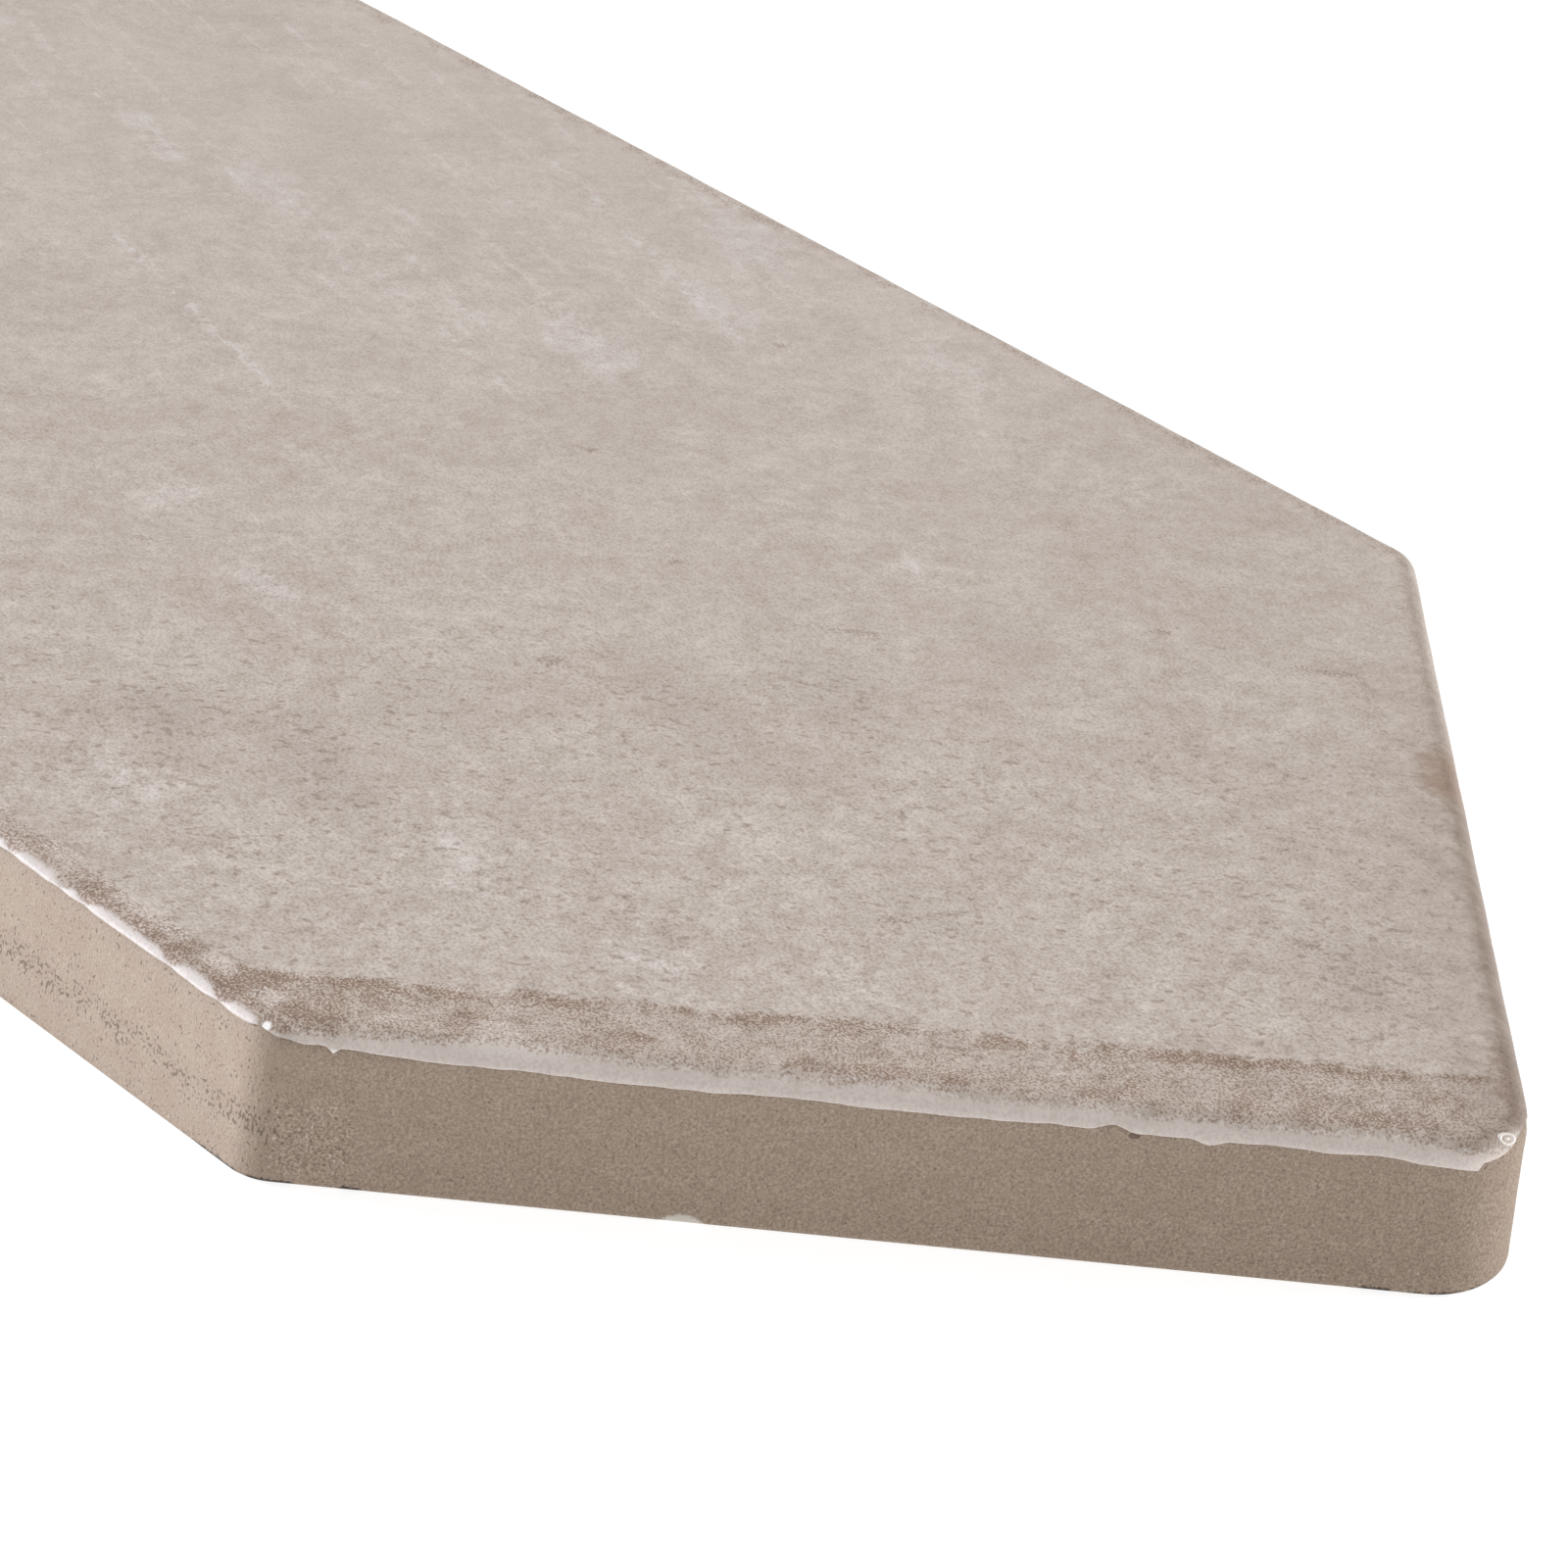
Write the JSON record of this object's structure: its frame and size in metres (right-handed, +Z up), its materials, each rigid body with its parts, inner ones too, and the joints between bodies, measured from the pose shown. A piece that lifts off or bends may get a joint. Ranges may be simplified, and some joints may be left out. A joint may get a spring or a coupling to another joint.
{
  "type": "picket tile",
  "caption": "Elongated hexagonal ceramic tile with square points, rounded corners, a satin glazed face and a waffle-pressed bed.",
  "frame": {"origin": "middle of the bed, the unglazed back, at the level that the tile lies on", "axes": "+X from point to point along the tile, +Y across it, +Z up out of the glazed face"},
  "size_m": [0.3, 0.075, 0.0075],
  "materials": {
    "glaze": "satin warm grey glaze with a weathered printed pattern",
    "clay_body": "bare fired clay, beige and finely sandy"
  },
  "bodies": {
    "root": {"picket_tile": "glaze"}
  },
  "joints": []
}
